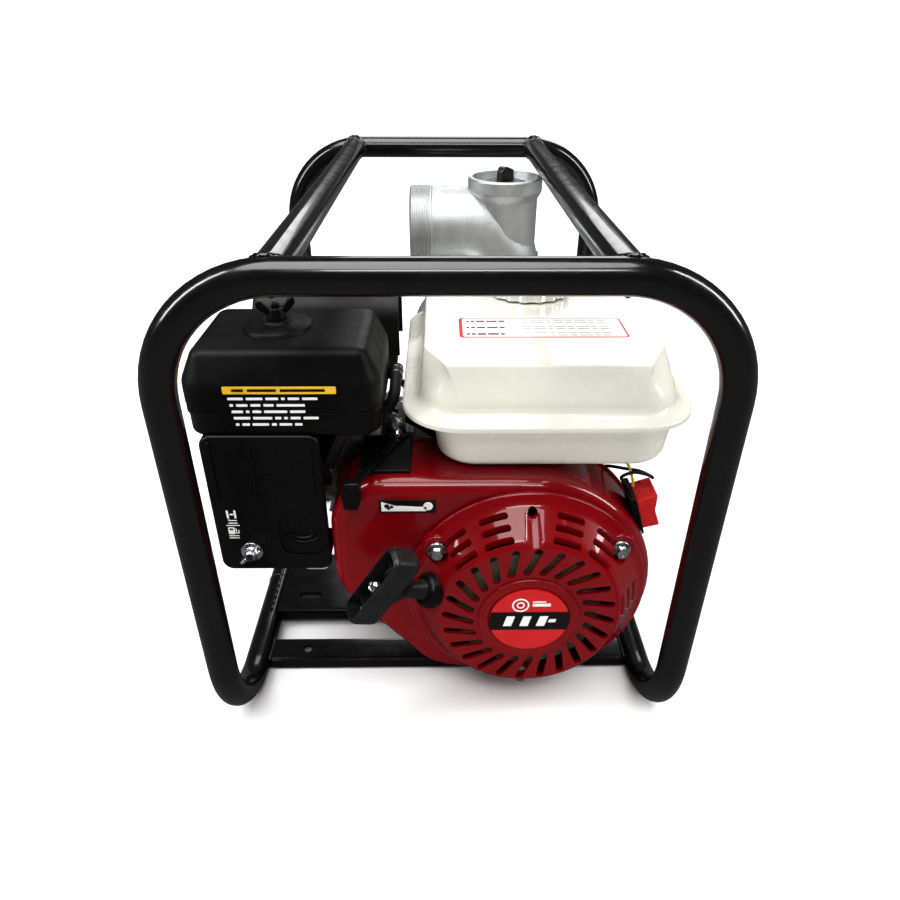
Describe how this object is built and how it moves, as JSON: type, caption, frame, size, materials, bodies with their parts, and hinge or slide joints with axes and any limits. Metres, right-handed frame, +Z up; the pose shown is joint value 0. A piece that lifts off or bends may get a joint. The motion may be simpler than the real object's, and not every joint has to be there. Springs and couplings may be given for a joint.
{
  "type": "engine-driven water pump set",
  "caption": "Petrol-engine 3-inch trash water pump in a tubular roll frame, with recoil starter, fuel tank, air cleaner, side outlet and rear inlet.",
  "frame": {"origin": "centre of the bounding box, on the ground plane under the frame tubes", "axes": "+Z up; -Y towards the recoil starter, +Y towards the pump; +X to the right when the starter is seen"},
  "size_m": [0.406, 0.554, 0.444],
  "materials": {
    "frame_paint": "gloss black powder coat",
    "block_casting": "grey painted die casting",
    "head_casting": "sand-blasted casting",
    "machined_steel": "turned steel",
    "flywheel_iron": "machined cast iron",
    "shroud_red": "gloss red enamel",
    "emblem_red": "printed disc",
    "tank_white": "gloss off-white enamel",
    "cap_chrome": "chrome plate",
    "black_plastic": "grained black plastic",
    "grip_plastic": "dark grey moulding",
    "switch_red": "gloss moulding",
    "rubber": "black rubber",
    "rope": "braided cord",
    "foam": "open-cell foam",
    "zinc": "zinc plate",
    "muffler_steel": "heat-darkened steel",
    "shield_paint": "satin black heat paint",
    "pump_aluminium": "shot-blasted casting",
    "pump_iron": "grey iron"
  },
  "bodies": {
    "chassis": {"frame_front": "frame_paint", "frame_rear": "frame_paint", "top_rail_left": "frame_paint", "top_rail_right": "frame_paint", "crossmember_front": "frame_paint", "engine_plate": "frame_paint", "crossmember_rear": "frame_paint", "crankcase": "block_casting", "crankcase_cover": "block_casting", "cylinder_head": "head_casting", "rocker_cover": "head_casting", "piston": "head_casting", "carburetor": "head_casting", "connecting_rod": "machined_steel", "fan_housing": "shroud_red", "recoil_housing": "shroud_red", "recoil_emblem": "emblem_red", "fuel_tank": "tank_white", "air_cleaner_cover": "black_plastic", "air_cleaner_base": "black_plastic", "control_panel": "black_plastic", "engine_switch": "black_plastic", "ignition_coil": "black_plastic", "rope_guide": "grip_plastic", "spark_plug_cap": "rubber", "ignition_lead": "rubber", "fuel_hose": "rubber", "switch_wire": "rubber", "shaft_seal": "rubber", "air_filter": "foam", "control_bracket": "zinc", "spark_plug": "zinc", "oil_drain_bolt": "zinc", "float_bowl": "zinc", "muffler": "muffler_steel", "muffler_shield": "shield_paint", "tank_bracket": "shield_paint", "pump_casing": "pump_aluminium", "pump_bracket": "pump_aluminium", "suction_port": "pump_aluminium", "discharge_elbow": "pump_aluminium", "volute": "pump_iron"},
    "main_shaft": {"crankshaft": "machined_steel", "flywheel": "flywheel_iron", "starter_cup": "machined_steel", "impeller": "pump_iron"},
    "cam_shaft": {"camshaft": "machined_steel"},
    "recoil_reel": {"starter_reel": "black_plastic"},
    "pull_handle": {"starter_handle": "grip_plastic", "starter_rope": "rope"},
    "filler_cap": {"fuel_cap": "cap_chrome"},
    "cleaner_nut": {"wing_nut": "black_plastic"},
    "choke": {"choke_lever": "black_plastic"},
    "fuel_valve": {"fuel_valve_lever": "black_plastic"},
    "throttle": {"throttle_lever": "black_plastic"},
    "rocker": {"switch_rocker": "switch_red"},
    "dipstick": {"oil_dipstick": "black_plastic"},
    "valve_flap": {"check_valve_flap": "rubber"},
    "filler_plug": {"priming_plug": "grip_plastic"},
    "drain_plug": {"pump_drain_plug": "grip_plastic"}
  },
  "joints": [
    {"name": "shaft_turn", "type": "hinge", "parent": "chassis", "child": "main_shaft", "pos_m": [0.068, 0.004, 0.132], "axis": [0, 1, 0], "continuous": true, "deforming": ["connecting_rod", "piston"]},
    {"name": "cam_turn", "type": "hinge", "parent": "chassis", "child": "cam_shaft", "pos_m": [0.098, -0.076, 0.0882], "axis": [0, 1, 0], "continuous": true},
    {"name": "handle_pull", "type": "slide", "parent": "chassis", "child": "pull_handle", "axis": [-0.7904, -0.4137, 0.4518], "range_m": [0, 0.5], "stiffness_N_per_m": 40, "springref_m": -0.25, "deforming": ["starter_rope"]},
    {"name": "reel_turn", "type": "hinge", "parent": "chassis", "child": "recoil_reel", "pos_m": [0.068, -0.231, 0.132], "axis": [0, 1, 0], "range_deg": [0, 540]},
    {"name": "cap_turn", "type": "hinge", "parent": "chassis", "child": "filler_cap", "pos_m": [0.081, 0, 0.343], "axis": [0, 0, 1], "range_deg": [0, 90]},
    {"name": "cleaner_nut_turn", "type": "hinge", "parent": "chassis", "child": "cleaner_nut", "pos_m": [-0.138, -0.138, 0.36], "axis": [0, 0, 1], "continuous": true},
    {"name": "choke_swing", "type": "hinge", "parent": "chassis", "child": "choke", "pos_m": [-0.162, -0.172, 0.215], "axis": [1, 0, 0], "range_deg": [-40, 0]},
    {"name": "fuel_valve_swing", "type": "hinge", "parent": "chassis", "child": "fuel_valve", "pos_m": [-0.162, -0.172, 0.178], "axis": [1, 0, 0], "range_deg": [-60, 0]},
    {"name": "throttle_swing", "type": "hinge", "parent": "chassis", "child": "throttle", "pos_m": [-0.044, -0.146, 0.25], "axis": [0, 0, 1], "range_deg": [0, 36]},
    {"name": "switch_rock", "type": "hinge", "parent": "chassis", "child": "rocker", "pos_m": [0.1649, -0.18, 0.201], "axis": [0, 1, 0], "range_deg": [-12, 0]},
    {"name": "dipstick_turn", "type": "hinge", "parent": "chassis", "child": "dipstick", "pos_m": [0.148, -0.058, 0.054], "axis": [1, 0, 0], "continuous": true},
    {"name": "valve_flap_swing", "type": "hinge", "parent": "chassis", "child": "valve_flap", "pos_m": [0.068, 0.2017, 0.236], "axis": [1, 0, 0], "range_deg": [-35, 0]},
    {"name": "filler_plug_turn", "type": "hinge", "parent": "chassis", "child": "filler_plug", "pos_m": [0.068, 0.155, 0.417], "axis": [0, 0, 1], "continuous": true},
    {"name": "drain_plug_turn", "type": "hinge", "parent": "chassis", "child": "drain_plug", "pos_m": [0.068, 0.214, 0.046], "axis": [0, 1, 0], "continuous": true}
  ],
  "couplings": [
    {"joint": "cam_turn", "follows": "shaft_turn", "ratio": -0.5},
    {"joint": "reel_turn", "follows": "handle_pull", "rad_per_m": 18.727}
  ]
}
